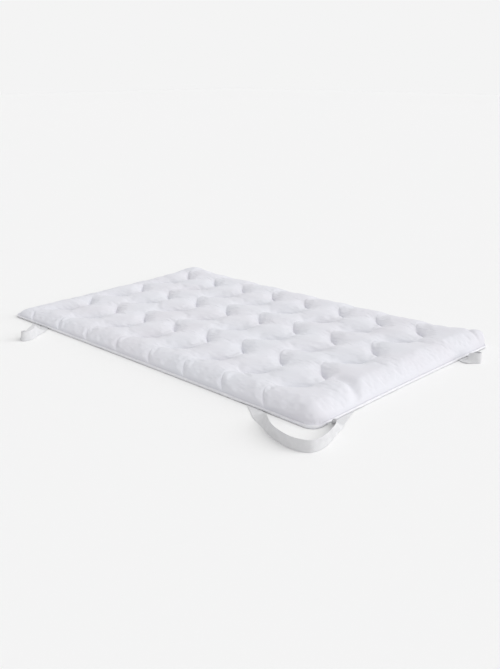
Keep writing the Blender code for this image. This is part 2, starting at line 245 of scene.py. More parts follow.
def makePiece(name, points, polygons, material, uv=None):
    # points and uv may be grids; polygons holds an array of vertex numbers for each number of sides
    points = np.asarray(points, np.float32).reshape(-1, 3)
    corners = np.concatenate([group.ravel() for group in polygons]).astype(np.int32)
    sides = np.concatenate([np.full(len(group), group.shape[1]) for group in polygons])
    starts = np.concatenate([[0], np.cumsum(sides)[:-1]])
    mesh = bpy.data.meshes.new(name)
    mesh.vertices.add(len(points))
    mesh.vertices.foreach_set("co", points.ravel())
    mesh.loops.add(len(corners))
    mesh.loops.foreach_set("vertex_index", corners)
    mesh.polygons.add(len(sides))
    mesh.polygons.foreach_set("loop_start", starts.astype(np.int32))
    mesh.polygons.foreach_set("loop_total", sides.astype(np.int32))
    mesh.update(calc_edges=True)
    if uv is not None:
        uv = np.asarray(uv, np.float32).reshape(-1, 2)
        mesh.uv_layers.new(name="cloth").data.foreach_set("uv", uv[corners].ravel())
    mesh.validate()
    mesh.shade_smooth()
    mesh.materials.append(material)
    return addObject(name, mesh)


def latticeValue(i, j, seed):
    # a repeatable number from -1 to 1 for a lattice point: the fraction of a large sine
    mixed = np.sin(i * 12.9898 + j * 78.233 + seed * 37.719) * 43758.5453
    return 2 * (mixed - np.floor(mixed)) - 1


def softNoise(a, b, seed):
    # lattice values blended both ways by 6t^5 - 15t^4 + 10t^3, so that the curvature is smooth
    i, j = np.floor(a), np.floor(b)
    s, t = a - i, b - j
    s = s**3 * (s * (6 * s - 15) + 10)
    t = t**3 * (t * (6 * t - 15) + 10)
    near = latticeValue(i, j, seed) * (1 - s) + latticeValue(i + 1, j, seed) * s
    far = latticeValue(i, j + 1, seed) * (1 - s) + latticeValue(i + 1, j + 1, seed) * s
    return near * (1 - t) + far * t


def unit(vectors):
    # each vector over its own length
    return vectors / np.linalg.norm(vectors, axis=-1, keepdims=True)


# the pad: one filled, quilted form
pad = {
    "length": 1.90,
    "width": 1.20,
    "cornerRadius": 0.040,
    "sideDrawIn": 0.006,
    "crownHeight": 0.056,  # at the middle, before the filling pushes the cover out
    "crownGainX": 0.28,  # share by which the rise grows from the middle to the right end
    "crownGainY": 0.11,  # the same from the middle to the back
    "narrowCrown": 0.90,  # share of the rise where a channel is narrow
    "seamTop": 0.0115,
    "seamBottom": 0.0055,
    "edgeRoll": 0.085,  # width of the roll down to the seam
    "cornerPower": 3.0,  # how softly the rolls of two sides meet
    "rollFullness": 2.05,
    "fullTip": (0.9447, 0.5947),  # the corner whose filling stays thick up to the seam
    "fullTipShare": 0.35,  # the width of the roll there, as a share of edgeRoll
    "fullTipReach": 0.14,
    "bindingDepth": 0.005,
    "gap": 0.0003,  # between the pad and its tape
    "rimWidth": 0.085,  # how far in from the seam the underside meets the floor
    "bulgeUnder": 0.35,  # share of the rim's height that the filling pushes down beside the seam
    "bulgeStart": 0.006,
    "bulgeReach": 0.020,
    "grooveUnder": 0.004,  # depth of the stitch lines on the underside
    "grooveUnderWidth": 0.022,
    # the wavy stitch lines, counted from the left
    "lines": 8,
    "linePitch": 0.2155,
    "firstLine": -0.788,
    "waveLength": 0.334,
    "waveSwing": 0.0625,
    "waveStart": -0.266,
    "domeStart": 0.88,  # share of the crown that a puff has beside its stitch line
    "valleyDepth": 0.0195,
    "valleyWidth": 0.0085,
    "valleyPower": 1.1,
    "slack": 0.05,  # share of the dip left where a wave turns back
    # soft arcs that the straps pull into the cover near each corner
    "creaseDepths": (0.011, 0.005, 0.006, 0.004),  # in the order of cornerSigns
    "creaseHalfWidth": 0.026,
    "creaseReachX": 0.175,
    "creasePeakX": 0.125,
    "creasePeakY": 0.318,
    "creaseSeatY": 0.245,
    # folds that the filling pushes into the cover: three points, depth and half width of each
    "folds": (
        ((0.393, -0.453), (0.435, -0.441), (0.538, -0.491), 0.0028, 0.006),
        ((0.818, -0.291), (0.885, -0.308), (0.940, -0.356), 0.0040, 0.016),
        ((0.855, -0.470), (0.880, -0.440), (0.935, -0.425), 0.0025, 0.010),
        ((-0.724, -0.549), (-0.706, -0.510), (-0.686, -0.467), 0.0028, 0.006),
        ((-0.662, -0.410), (-0.652, -0.376), (-0.637, -0.340), 0.0022, 0.006),
        ((-0.800, -0.594), (-0.775, -0.565), (-0.745, -0.530), 0.0050, 0.008),
        ((-0.900, -0.560), (-0.870, -0.520), (-0.835, -0.500), 0.0040, 0.012),
        ((0.944, 0.520), (0.915, 0.515), (0.880, 0.530), 0.0060, 0.009),
        ((0.850, 0.594), (0.862, 0.560), (0.890, 0.535), 0.0040, 0.012),
    ),
    # places where the filling has gathered: x, y, radius and height
    "swells": ((-0.875, 0.535, 0.120, 0.015), (0.890, 0.550, 0.085, 0.005)),
    # puckers along the stitch lines and along the seam, and wide lumps
    "puckerPitch": 0.017,
    "puckerHeight": 0.0011,
    "puckerReach": 0.020,  # how far from the line they are highest
    "puckerDrift": 0.35,  # how much they change from the line to that place
    "puckerPatch": 0.16,  # size of the places where they are stronger or weaker
    "seamPuckerPitch": 0.016,
    "seamPuckerHeight": 0.0013,
    "seamPuckerReach": 0.026,
    "seamPuckerDrift": 0.4,
    "seamPuckerPatch": 0.2,
    "lumpPitch": 0.11,
    "lumpHeight": 0.0016,
    # the cover as cloth
    "clothFrames": 20,
    "clothQuality": 6,
    "clothGrowth": 0.008,  # the cover is cut this much larger than the form it's sewn to
    "clothPressure": 3.0,
    "clothMass": 0.002,  # of each vertex
    "clothStretch": 15.0,
    "clothShear": 5.0,
    "clothBend": 0.02,
    "clothSeam": 0.006,  # this near the seam it stays as it is
    "clothLimit": 0.006,  # the most that a place may move
    # the pad's own grid
    "channelColumns": 30,
    "leftColumns": 24,
    "rightColumns": 36,
    "rows": 300,
    "columnGrading": 0.75,  # 0 even, 1 crowded at the stitch lines
    "rowGrading": 0.25,
    "coarseness": 3,  # the underside uses every third row and column
}
halfLength = pad["length"] / 2 - pad["bindingDepth"] - pad["gap"]
halfWidth = pad["width"] / 2 - pad["bindingDepth"] - pad["gap"]
stitchLines = pad["firstLine"] + pad["linePitch"] * np.arange(pad["lines"])
waveTurn = 2 * math.pi / pad["waveLength"]
cornerSigns = {
    "front_right": (1, -1),
    "front_left": (-1, -1),
    "back_right": (1, 1),
    "back_left": (-1, 1),
}


def smoothStep(t):
    # 3t^2 - 2t^3
    return t * t * (3 - 2 * t)


def graded(start, end, count, pull):
    # even steps t mixed with (1 - cos(pi t)) / 2, which crowds both ends by the share pull
    t = np.linspace(0, 1, count + 1)
    t = (1 - pull) * t + pull * (1 - np.cos(math.pi * t)) / 2
    return start + (end - start) * t


def flatColumns():
    # one column on each short side and each stitch line, with graded ones between them
    stops = [-halfLength, *stitchLines, halfLength]
    counts = [pad["leftColumns"]] + [pad["channelColumns"]] * (pad["lines"] - 1)
    counts.append(pad["rightColumns"])
    parts = [
        graded(a, b, count, pad["columnGrading"])[:-1]
        for a, b, count in zip(stops[:-1], stops[1:], counts)
    ]
    return np.concatenate(parts + [[halfLength]])


def flatRows():
    # graded rows from the front to the back
    return graded(-halfWidth, halfWidth, pad["rows"], pad["rowGrading"])


def wave(y):
    # a stitch line's sideways offset: minus the swing times the sine of its place along Y
    return -pad["waveSwing"] * np.sin(waveTurn * (y - pad["waveStart"]))


def channelShare(y):
    # a channel's width square to its lines, as a share of the pitch: 1 / hypot(1, slope)
    slope = pad["waveSwing"] * waveTurn * np.cos(waveTurn * (y - pad["waveStart"]))
    return 1 / np.hypot(1, slope)


def waveShare(flatX):
    # 1 between the outer stitch lines, falling to 0 at the short sides
    stops = [-halfLength, stitchLines[0], stitchLines[-1], halfLength]
    return np.interp(flatX, stops, [0, 1, 1, 0])


def drawIn(x, y):
    # each side bows in by sideDrawIn at its middle, less towards the corners as 1 - t^2
    bowX = pad["sideDrawIn"] * (1 - np.clip(y / halfWidth, -1, 1) ** 2)
    bowY = pad["sideDrawIn"] * (1 - np.clip(x / halfLength, -1, 1) ** 2)
    return x * (1 - bowX / halfLength), y * (1 - bowY / halfWidth)


def roundCorners(x, y):
    # points in a square corner move onto the quarter circle with the same larger offset
    radius = pad["cornerRadius"]
    overX = (np.abs(x) - (halfLength - radius)) / radius
    overY = (np.abs(y) - (halfWidth - radius)) / radius
    inside = (overX > 0) & (overY > 0)
    reach = np.where(inside, np.hypot(overX, overY), 1)
    squeeze = np.where(inside, np.maximum(overX, overY) / reach, 1)
    newX = np.sign(x) * (halfLength - radius + overX * squeeze * radius)
    newY = np.sign(y) * (halfWidth - radius + overY * squeeze * radius)
    return np.where(inside, newX, x), np.where(inside, newY, y)


def insetFromEdge(x, y):
    # distance inside the rounded outline
    radius = pad["cornerRadius"]
    beyondX = np.abs(x) - (halfLength - radius)
    beyondY = np.abs(y) - (halfWidth - radius)
    outside = np.hypot(np.maximum(beyondX, 0), np.maximum(beyondY, 0))
    inside = np.minimum(np.maximum(beyondX, beyondY), 0)
    return np.maximum(radius - outside - inside, 0)


def edgeRoll(x, y):
    # q = 1 - distance / width from each near side, joined as (qx^c + qy^c)^(1 / c) so that two
    # rolls meet in a round puff; then (1 - q^n)^(1 / n), an oval a little fuller than a circle;
    # the width shrinks by e^-(d / reach)^2 around the full tip
    power, fullness = pad["cornerPower"], pad["rollFullness"]
    apart = np.hypot(x - pad["fullTip"][0], y - pad["fullTip"][1]) / pad["fullTipReach"]
    width = pad["edgeRoll"] * (1 - (1 - pad["fullTipShare"]) * np.exp(-(apart**2)))
    q = np.clip(1 - insetFromEdge(x, y) / width, 0, 1)
    qx = np.clip(1 - (halfLength - np.abs(x)) / width, 0, 1)
    qy = np.clip(1 - (halfWidth - np.abs(y)) / width, 0, 1)
    joined = (qx**power + qy**power) ** (1 / power)
    q = np.clip(np.maximum(q, joined), 0, 1)
    return (1 - q**fullness) ** (1 / fullness)


def lineDistance(flatX):
    # distance along flat X to the nearest stitch line
    along = np.clip((flatX - stitchLines[0]) / pad["linePitch"], 0, pad["lines"] - 1)
    between = along - np.floor(along)
    nearest = pad["linePitch"] * np.minimum(between, 1 - between)
    return nearest + np.maximum(stitchLines[0] - flatX, 0) + np.maximum(flatX - stitchLines[-1], 0)


def stitchPull(y):
    # how hard a line pulls the cover down: slack + (1 - slack) |cos|^3, most where it runs slanted
    slant = np.abs(np.cos(waveTurn * (y - pad["waveStart"])))
    return pad["slack"] + (1 - pad["slack"]) * slant**3


def domeShare(flatX, y):
    # 1 - (1 - domeStart) x pull x (1 - t)^2: lowest at the line, 1 at half a pitch from it
    t = np.clip(lineDistance(flatX) / (pad["linePitch"] / 2), 0, 1)
    return 1 - (1 - pad["domeStart"]) * stitchPull(y) * (1 - t) ** 2


def valleyDepth(flatX, y):
    # depth x pull x e^-(d / width)^power, with d square to the line
    share = lineDistance(flatX) * channelShare(y) / pad["valleyWidth"]
    return pad["valleyDepth"] * stitchPull(y) * np.exp(-(share ** pad["valleyPower"]))


def creaseDepth(x, y):
    # each corner's arc is a parabola; its trough is a bell curve e^-d^2 across the arc
    depth = np.zeros_like(x)
    bend = (pad["creasePeakY"] - pad["creaseSeatY"]) / pad["creasePeakX"] ** 2
    for (signX, signY), deepest in zip(cornerSigns.values(), pad["creaseDepths"]):
        inX = halfLength - signX * x
        inY = halfWidth - signY * y
        arcY = pad["creasePeakY"] - bend * (inX - pad["creasePeakX"]) ** 2
        across = (inY - arcY) / pad["creaseHalfWidth"]
        along = np.clip((pad["creaseReachX"] - inX) / pad["creaseHalfWidth"], 0, 1)
        depth += deepest * along * np.exp(-(across**2))
    return depth


def swellHeight(x, y):
    # height times e^-(d / radius)^2
    height = np.zeros_like(x)
    for swellX, swellY, radius, most in pad["swells"]:
        apart = np.hypot(x - swellX, y - swellY) / radius
        height += most * np.exp(-(apart**2))
    return height


def foldDepth(x, y):
    # depth times e^-(d / half width)^2 with d the distance to the fold's two straight parts
    depth = np.zeros_like(x)
    for start, middle, end, deepest, reach in pad["folds"]:
        nearest = np.full_like(x, 1.0)
        for (ax, ay), (bx, by) in ((start, middle), (middle, end)):
            stepX, stepY = bx - ax, by - ay
            share = ((x - ax) * stepX + (y - ay) * stepY) / (stepX**2 + stepY**2)
            share = np.clip(share, 0, 1)
            apart = np.hypot(x - ax - share * stepX, y - ay - share * stepY)
            nearest = np.minimum(nearest, apart)
        depth += deepest * np.exp(-((nearest / reach) ** 2))
    return depth


def puckers(flatX, y, inset):
    # noise along a line or the seam, times d / reach e^(1 - d / reach): nothing at d = 0, most at
    # the reach; a wider noise makes them stronger or weaker from place to place
    stretch = 1 + 0.3 * pad["waveSwing"] * waveTurn  # a wavy line's length for each metre along Y
    side = np.floor((flatX - stitchLines[0]) / (pad["linePitch"] / 2))
    share = lineDistance(flatX) / pad["puckerReach"]
    along = y * stretch / pad["puckerPitch"]
    across = side * 5.3 + pad["puckerDrift"] * share  # 5.3 keeps the two sides of a line apart
    atLine = softNoise(along, across, seed=3) * share * np.exp(1 - share)
    shareIn = inset / pad["seamPuckerReach"]
    nearLong = halfWidth - np.abs(y) < halfLength - np.abs(flatX)
    alongEdge = np.where(nearLong, flatX, y) / pad["seamPuckerPitch"]
    edgeSide = np.where(nearLong, np.sign(y), 3 * np.sign(flatX))
    acrossEdge = edgeSide * 7.1 + pad["seamPuckerDrift"] * shareIn  # and 7.1 the four sides
    atEdge = softNoise(alongEdge, acrossEdge, seed=5) * shareIn * np.exp(1 - shareIn)
    patch, edgePatch = pad["puckerPatch"], pad["seamPuckerPatch"]
    strength = 0.5 + 0.5 * softNoise(flatX / patch, y / patch, seed=11)
    edgeNoise = np.clip(softNoise(flatX / edgePatch, y / edgePatch, seed=13), -0.3, 1)
    edgeStrength = 0.35 + 0.65 * edgeNoise
    return pad["puckerHeight"] * atLine * strength + pad["seamPuckerHeight"] * atEdge * edgeStrength


def topHeight(flatX, x, y):
    # seam height + ((rise + lumps) x dome - valley - creases - folds + swells) x roll + puckers;
    # the rise is less where a channel is narrow, and grows to the right and to the back
    narrowest = channelShare(pad["waveStart"])
    share = (channelShare(y) - narrowest) / (1 - narrowest)
    share = 1 - (1 - share) * waveShare(flatX)
    rise = pad["crownHeight"] - pad["seamTop"]
    rise = rise * (pad["narrowCrown"] + (1 - pad["narrowCrown"]) * share)
    rise = rise * (1 + pad["crownGainX"] * x / halfLength + pad["crownGainY"] * y / halfWidth)
    dome = domeShare(flatX, y)
    lumps = pad["lumpHeight"] * softNoise(x / pad["lumpPitch"], y / pad["lumpPitch"], seed=7)
    quilted = rise * dome + lumps * dome - valleyDepth(flatX, y)
    quilted = quilted - creaseDepth(x, y) - foldDepth(x, y) + swellHeight(x, y)
    return pad["seamTop"] + quilted * edgeRoll(x, y) + puckers(flatX, y, insetFromEdge(x, y))


def underHeight(flatX, x, y):
    # seam height x (1 - d / rimWidth), less a bulge whose share grows as 1 - e^-(d / bulgeStart)
    # and ends by two bulgeReach; further in, grooves e^-(d / width)^2 follow the stitch lines
    inset = insetFromEdge(x, y)
    begun = 1 - np.exp(-inset / pad["bulgeStart"])
    bulge = 1 - pad["bulgeUnder"] * begun * np.clip(2 - inset / pad["bulgeReach"], 0, 1)
    slope = pad["seamBottom"] * np.clip(1 - inset / pad["rimWidth"], 0, 1) * bulge
    groove = pad["grooveUnder"] * np.exp(-((lineDistance(flatX) / pad["grooveUnderWidth"]) ** 2))
    return slope + groove * np.clip(inset / pad["rimWidth"] - 1, 0, 1)


def arcLengths(points, axis):
    # running length along a grid's rows or columns, for the cloth's own UV map
    steps = np.linalg.norm(np.diff(points, axis=axis), axis=-1)
    start = np.zeros_like(np.take(steps, [0], axis=axis))
    return np.concatenate([start, np.cumsum(steps, axis=axis)], axis=axis)


def gridQuads(index):
    # the quads between neighbouring points of a numbered grid, facing up
    quads = [index[:-1, :-1], index[:-1, 1:], index[1:, 1:], index[1:, :-1]]
    return np.stack(quads, axis=-1).reshape(-1, 4)


def underPolygons(ring, rowCount, columnCount, firstIndex):
    # coarse quads inside; at the rim each coarse cell also takes the fine points on its edge
    fine = pad["coarseness"]
    rows, columns = rowCount // fine, columnCount // fine
    inner = firstIndex + np.arange((rows - 1) * (columns - 1)).reshape(rows - 1, columns - 1)
    quads = gridQuads(inner)[:, ::-1]
    corners = np.cumsum([0, columnCount, rowCount, columnCount, rowCount])
    insideLoop = boundaryLoop(inner)
    insideCorners = np.cumsum([0, columns - 2, rows - 2, columns - 2, rows - 2])
    rimCells, cornerCells = [], []
    for side in range(4):
        span = np.arange(corners[side] + fine, corners[side + 1] - fine + 1)
        outer = np.take(ring, span, mode="wrap")
        span = np.arange(insideCorners[side], insideCorners[side + 1] + 1)
        inside = np.take(insideLoop, span, mode="wrap")
        edges = [outer[step : len(outer) - fine + step : fine] for step in range(fine)]
        cell = np.stack(edges + [outer[fine::fine], inside[1:], inside[:-1]], axis=1)
        rimCells.append(cell[:, ::-1])
        span = np.arange(corners[side] - fine, corners[side] + fine + 1)
        around = np.take(ring, span, mode="wrap")
        cornerCells.append(np.append(around, inside[0])[::-1])
    return [quads, np.concatenate(rimCells), np.array(cornerCells)]


def halfway(moves, axis):
    # a grid twice as fine: between b and c comes (9 (b + c) - (a + d)) / 16
    moves = np.moveaxis(moves, axis, 0)
    longer = np.concatenate([moves[:1], moves, moves[-1:]])
    between = (9 * (longer[1:-2] + longer[2:-1]) - (longer[:-3] + longer[3:])) / 16
    finer = np.empty((2 * len(moves) - 1, *moves.shape[1:]))
    finer[0::2] = moves
    finer[1::2] = between
    return np.moveaxis(finer, 0, axis)


def clothMoves(top, held):
    # the top as cloth without gravity, held where it's sewn and pushed out by its filling, on every
    # second row and column; a move longer than clothLimit is cut to it
    top, held = top[::2, ::2], held[::2, ::2]
    index = np.arange(held.size).reshape(held.shape)
    piece = makePiece("coverSheet", top, [gridQuads(index)], coverMaterial)
    sewn = piece.vertex_groups.new(name="sewn")
    sewn.add(np.flatnonzero(held).tolist(), 1.0, "REPLACE")
    cloth = piece.modifiers.new("cloth", "CLOTH")
    cloth.point_cache.frame_start = 1
    cloth.point_cache.frame_end = pad["clothFrames"]
    rules = cloth.settings
    rules.quality = pad["clothQuality"]
    rules.mass = pad["clothMass"]
    rules.tension_stiffness = pad["clothStretch"]
    rules.compression_stiffness = pad["clothStretch"]
    rules.shear_stiffness = pad["clothShear"]
    rules.bending_stiffness = pad["clothBend"]
    rules.use_pressure = True
    rules.uniform_pressure_force = pad["clothPressure"]
    rules.shrink_min = -pad["clothGrowth"]
    rules.vertex_group_mass = "sewn"
    rules.effector_weights.gravity = 0
    scene = bpy.context.scene
    for frameNumber in range(1, pad["clothFrames"] + 1):
        scene.frame_set(frameNumber)
    settled = piece.evaluated_get(bpy.context.evaluated_depsgraph_get()).to_mesh()
    place = np.empty(top.size, np.float32)
    settled.vertices.foreach_get("co", place)
    scene.frame_set(1)
    mesh = piece.data
    bpy.data.objects.remove(piece)
    bpy.data.meshes.remove(mesh)
    moves = place.reshape(top.shape) - top
    size = np.linalg.norm(moves, axis=-1, keepdims=True)
    most, mean = float(size.max()), float(size.mean())
    print("cloth moved by up to", round(most, 4), "m, mean", round(mean, 4))
    moves = moves * np.minimum(1, pad["clothLimit"] / np.maximum(size, 1e-9))
    return halfway(halfway(moves, 0), 1)


def makePad():
    # the flat grid is bent into the waves, rounded at its corners and drawn in at its sides; below
    # the top come a wall at the seam and the coarser underside
    flatX, y = np.meshgrid(flatColumns(), flatRows())
    x = flatX + wave(y) * waveShare(flatX)
    x, y = roundCorners(x, y)
    top = np.stack([*drawIn(x, y), topHeight(flatX, x, y)], axis=-1)
    rows, columns = flatX.shape
    index = np.arange(rows * columns).reshape(rows, columns)
    held = (lineDistance(flatX) < 1e-6) | (insetFromEdge(x, y) < pad["clothSeam"])
    top = top + clothMoves(top, held)
    rim = boundaryLoop(index)
    seam = top.reshape(-1, 3)[rim].copy()
    seam[:, 2] = pad["seamBottom"]
    ring = rows * columns + np.arange(len(rim))
    wall = np.stack([rim, ring, np.roll(ring, -1), np.roll(rim, -1)], axis=-1)
    fine = pad["coarseness"]
    inner = (slice(fine, -fine, fine), slice(fine, -fine, fine))
    under = np.stack([*drawIn(x, y), underHeight(flatX, x, y)], axis=-1)[inner]
    points = np.concatenate([top.reshape(-1, 3), seam, under.reshape(-1, 3)])
    cells = underPolygons(ring, rows - 1, columns - 1, rows * columns + len(ring))
    uv = np.stack([arcLengths(top, 1), arcLengths(top, 0)], axis=-1)
    uvTop = uv.reshape(-1, 2)
    uv = np.concatenate([uvTop, uvTop[rim], uv[inner].reshape(-1, 2)])
    piece = makePiece("quiltedPad", points, [gridQuads(index), wall, *cells], coverMaterial, uv)
    return piece, top


padPiece, padTop = makePad()
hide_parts("pad")
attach(padPiece, "root")
print("pad ready:", len(padPiece.data.polygons), "faces")

# the four corner straps: bands of woven elastic, sewn under the rim at both ends
straps = {
    "width": 0.045,
    "thickness": 0.0016,
    "floorGap": 0.0004,
    "seatReach": 0.040,  # how far a sewn end reaches under the rim
    "seatEnd": 0.009,  # how far beyond the outline it stays straight and flat
    "standFrom": 0.007,  # how far beyond the outline its inner edge may begin to rise
    "standOver": 0.030,  # over how much more it may come to stand
    "cords": 15,
    "cordRelief": 0.00012,
    "edgeThinning": 0.45,  # share of the thickness lost at the very edge
    "edgePower": 30,  # the larger, the nearer the edge it begins
    "step": 0.005,
    "easing": 14,  # rounds of evening out
    "held": 12,  # places at each end that keep to the seat
    # (fromCornerX, slantX, fromCornerY, slantY): where a strap's middle crosses the long side, how
    # far it runs along that side for each metre outwards, and the same for the short side
    "seats": {
        "front_right": (0.278, 1.45, 0.173, 2.65),
        "front_left": (0.261, -0.75, 0.225, 0.0),
        "back_right": (0.270, 0.0, 0.215, -0.56),
        "back_left": (0.270, 0.0, 0.225, 0.0),
    },
    # (beyondX, beyondY, stand): how far the strap's middle lies beyond the corner, and how far it
    # stands on its edge, from 0 to 1
    "loops": {
        "front_right": (
            (-0.243, 0.024, 0.0), (-0.218, 0.044, 0.12), (-0.180, 0.068, 0.42),
            (-0.135, 0.098, 0.75), (-0.074, 0.134, 0.92), (-0.018, 0.1495, 1.0),
            (0.031, 0.157, 1.0), (0.068, 0.151, 1.0), (0.098, 0.135, 1.0),
            (0.107, 0.100, 1.0), (0.105, 0.070, 1.0), (0.0966, 0.034, 1.0),
            (0.080, -0.012, 1.0), (0.0625, -0.053, 0.85), (0.044, -0.075, 0.45),
            (0.031, -0.092, 0.08), (0.0225, -0.111, 0.0), (0.0165, -0.128, 0.0),
        ),
        "front_left": (
            (-0.286, 0.033, 0.0), (-0.309, 0.060, 0.4), (-0.332, 0.088, 0.75),
            (-0.360, 0.120, 0.95), (-0.376, 0.150, 1.0), (-0.374, 0.178, 1.0),
            (-0.362, 0.190, 1.0), (-0.347, 0.182, 0.9), (-0.330, 0.158, 0.5),
            (-0.308, 0.128, 0.18), (-0.275, 0.094, 0.05), (-0.240, 0.056, 0.0),
            (-0.207, 0.014, 0.0), (-0.175, -0.014, 0.0), (-0.130, -0.024, 0.0),
            (-0.070, -0.024, 0.0), (-0.049, -0.0265, 0.0), (-0.0328, -0.0328, 0.0),
            (-0.0265, -0.049, 0.0), (-0.024, -0.070, 0.0), (-0.018, -0.105, 0.0),
            (0.004, -0.140, 0.0), (0.030, -0.170, 0.0), (0.036, -0.198, 0.0),
            (0.0324, -0.2115, 0.0), (0.0225, -0.221, 0.0),
        ),
        "back_right": (
            (-0.266, 0.0225, 0.0), (-0.2565, 0.0324, 0.0), (-0.243, 0.036, 0.0),
            (-0.200, 0.038, 0.05), (-0.150, 0.028, 0.03), (-0.115, 0.000, 0.0),
            (-0.085, -0.021, 0.0), (-0.065, -0.024, 0.0), (-0.047, -0.0265, 0.0),
            (-0.0328, -0.0328, 0.0), (-0.0265, -0.049, 0.0), (-0.024, -0.075, 0.0),
            (-0.022, -0.115, 0.0), (-0.012, -0.140, 0.0), (0.014, -0.160, 0.0),
            (0.044, -0.180, 0.3), (0.070, -0.194, 0.8), (0.087, -0.205, 1.0),
            (0.087, -0.217, 1.0), (0.062, -0.2375, 0.9), (0.037, -0.2425, 0.45),
            (0.026, -0.234, 0.06),
        ),
        "back_left": (
            (-0.266, 0.0225, 0.0), (-0.2565, 0.0324, 0.03), (-0.243, 0.036, 0.05),
            (-0.185, 0.046, 0.12), (-0.110, 0.047, 0.20), (-0.040, 0.044, 0.28),
            (0.010, 0.034, 0.30), (0.036, -0.005, 0.30), (0.042, -0.060, 0.25),
            (0.042, -0.125, 0.15), (0.036, -0.198, 0.05), (0.0324, -0.2115, 0.03),
            (0.0225, -0.221, 0.0),
        ),
    },
}


def restingHeight(stand):
    # height of the strap's middle where its lower edge just clears the floor
    lean = stand * math.pi / 2
    rise = straps["width"] / 2 * np.sin(lean) + straps["thickness"] / 2 * np.cos(lean)
    return straps["floorGap"] + rise


def seatPoints(fromCorner, slant):
    # (along, outwards) from the sewn end, whose inner corner reaches seatReach, to past the seam
    depth = straps["seatReach"] - straps["width"] / 2 * abs(slant) / math.hypot(1, slant)
    steps = (-depth, -depth / 2, 0.0, straps["seatEnd"])
    return [(-fromCorner + step * slant, step) for step in steps]


def strapRows(corner):
    # (beyondX, beyondY, height, stand) from the seat on the long side to the one on the short side;
    # a seat lies just under the rim, whose height there is seamBottom (1 - seatReach / rimWidth)
    fromCornerX, slantX, fromCornerY, slantY = straps["seats"][corner]
    roof = pad["seamBottom"] * (1 - straps["seatReach"] / pad["rimWidth"])
    height = roof - straps["thickness"] / 2 - 2 * pad["gap"]
    rows = [(along, out, height, 0.0) for along, out in seatPoints(fromCornerX, slantX)]
    for beyondX, beyondY, stand in straps["loops"][corner]:
        rows.append((beyondX, beyondY, restingHeight(stand), stand))
    ends = reversed(seatPoints(fromCornerY, slantY))
    rows += [(out, along, height, 0.0) for along, out in ends]
    return np.array(rows)


def easeRoute(route):
    # each place moves to (before + 2 x itself + after) / 4, round after round, but for both ends
    held = straps["held"]
    for _ in range(straps["easing"]):
        eased = (route[:-2] + 2 * route[1:-1] + route[2:]) / 4
        route[held:-held] = eased[held - 1 : 1 - held]
    return route


def smoothRoute(rows):
    # Hermite cubics through all rows, with slopes from the neighbouring rows
    spans = np.linalg.norm(np.diff(rows[:, :2], axis=0), axis=1)
    stops = np.concatenate([[0], np.cumsum(spans)])
    slopes = np.gradient(rows, stops, axis=0)
    steps = np.ceil(spans / straps["step"]).astype(int)
    span = np.repeat(np.arange(len(spans)), steps)
    share = np.concatenate([np.arange(count) / count for count in steps])[:, None]
    length = spans[span][:, None]
    leave, arrive = slopes[span] * length, slopes[span + 1] * length
    route = (
        rows[span] * (2 * share**3 - 3 * share**2 + 1)
        + leave * (share**3 - 2 * share**2 + share)
        + rows[span + 1] * (3 * share**2 - 2 * share**3)
        + arrive * (share**3 - share**2)
    )
    return easeRoute(np.concatenate([route, rows[-1:]]))


def roomToStand(route):
    # 0 while the band's inner edge is under the rim, rising as 3t^2 - 2t^3 to 1 a little beyond it:
    # t grows with the middle's distance beyond the outline less half the width x |S . outwards|,
    # where S is the band's level side
    over = np.maximum(route[:, :2] + pad["cornerRadius"], 0)
    deep = np.minimum(np.max(route[:, :2] + pad["cornerRadius"], axis=1), 0)
    reach = np.linalg.norm(over, axis=1)
    outwards = over / np.maximum(reach, 1e-6)[:, None]
    ahead = unit(np.gradient(route[:, :2], axis=0))
    turned = np.abs(ahead[:, 0] * outwards[:, 1] - ahead[:, 1] * outwards[:, 0])
    beyond = reach + deep - pad["cornerRadius"] - straps["width"] / 2 * turned
    t = np.clip((beyond - straps["standFrom"]) / straps["standOver"], 0, 1)
    return smoothStep(t)


def strapProfile():
    # (across, up) round the section, with t from -1 to 1 across it: half the thickness less
    # cordRelief x cos(pi cords (t + 1)), thinned at both edges by a share of |t|^edgePower
    t = np.linspace(-1, 1, 2 * straps["cords"] + 1)
    relief = straps["cordRelief"] * np.cos(math.pi * straps["cords"] * (t + 1))
    half = straps["thickness"] / 2 * (1 - straps["edgeThinning"] * np.abs(t) ** straps["edgePower"])
    upper = np.stack([t * straps["width"] / 2, half - relief], axis=-1)
    lower = upper[::-1] * (1, -1)
    return np.concatenate([upper, lower])


def makeStrap(corner):
    # the section carried along its route: side = cos a S + sin a U, where S is level and square
    # to the path, U square to both and a the angle at which it stands; it keeps below the seat's
    # height where it can and always clears the floor
    signX, signY = cornerSigns[corner]
    route = smoothRoute(strapRows(corner))
    x, y = drawIn(signX * (halfLength + route[:, 0]), signY * (halfWidth + route[:, 1]))
    stand = np.minimum(np.clip(route[:, 3], 0, 1), roomToStand(route))
    height = np.maximum(np.minimum(route[:, 2], route[0, 2]), restingHeight(stand))
    path = np.stack([x, y, height], axis=-1)
    ahead = unit(np.gradient(path, axis=0))
    level = unit(np.cross(ahead, (0, 0, 1)))
    upright = np.cross(level, ahead)
    lean = (signX * signY * stand * math.pi / 2)[:, None]
    side = np.cos(lean) * level + np.sin(lean) * upright
    face = np.cross(side, ahead)
    profile = strapProfile()
    points = path[:, None] + profile[:, :1] * side[:, None] + profile[:, 1:] * face[:, None]
    index = np.arange(len(path) * len(profile)).reshape(len(path), len(profile))
    quads = gridQuads(np.column_stack([index, index[:, 0]]))
    caps = [index[:1, ::-1], index[-1:]]
    travelled = arcLengths(path, 0)
    uv = np.stack(np.broadcast_arrays(travelled[:, None], profile[:, 0]), axis=-1)
    piece = makePiece("elasticStrap_" + corner, points, [quads, *caps], elasticMaterial, uv)
    return piece, path, float(travelled[-1])


